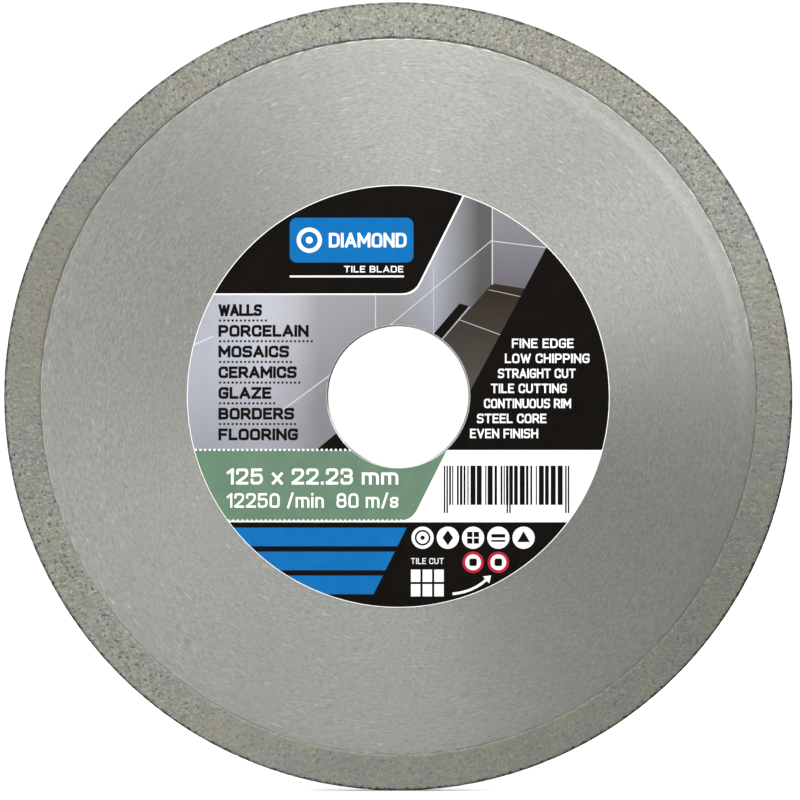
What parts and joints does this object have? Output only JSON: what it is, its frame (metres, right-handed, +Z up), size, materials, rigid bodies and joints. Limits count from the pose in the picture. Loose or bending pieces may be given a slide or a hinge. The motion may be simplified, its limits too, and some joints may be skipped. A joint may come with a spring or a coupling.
{
  "type": "continuous rim diamond blade",
  "caption": "Flat round tile-cutting blade: thin steel core with a central arbor bore, a raised unbroken sintered diamond rim, and a round printed paper label on its front face.",
  "frame": {"origin": "centre of the arbor bore, at the middle of the core's thickness", "axes": "+Y along the blade's axis from the labelled front face towards the machine, +Z up on the label, +X to the label's right"},
  "size_m": [0.125, 0.0016, 0.125],
  "materials": {
    "ground_steel": "ground in fine circles about the bore, lightly oiled",
    "sintered_diamond": "pressed and sintered metal powder full of diamond grit, speckled grey-green",
    "label_glue": "thin clear-cream pressure-sensitive adhesive",
    "printed_paper": "coated white paper printed in black, blue, green and red"
  },
  "bodies": {
    "root": {"steel_core": "ground_steel", "diamond_rim": "sintered_diamond", "label_adhesive": "label_glue", "label_paper": "printed_paper"}
  },
  "joints": []
}
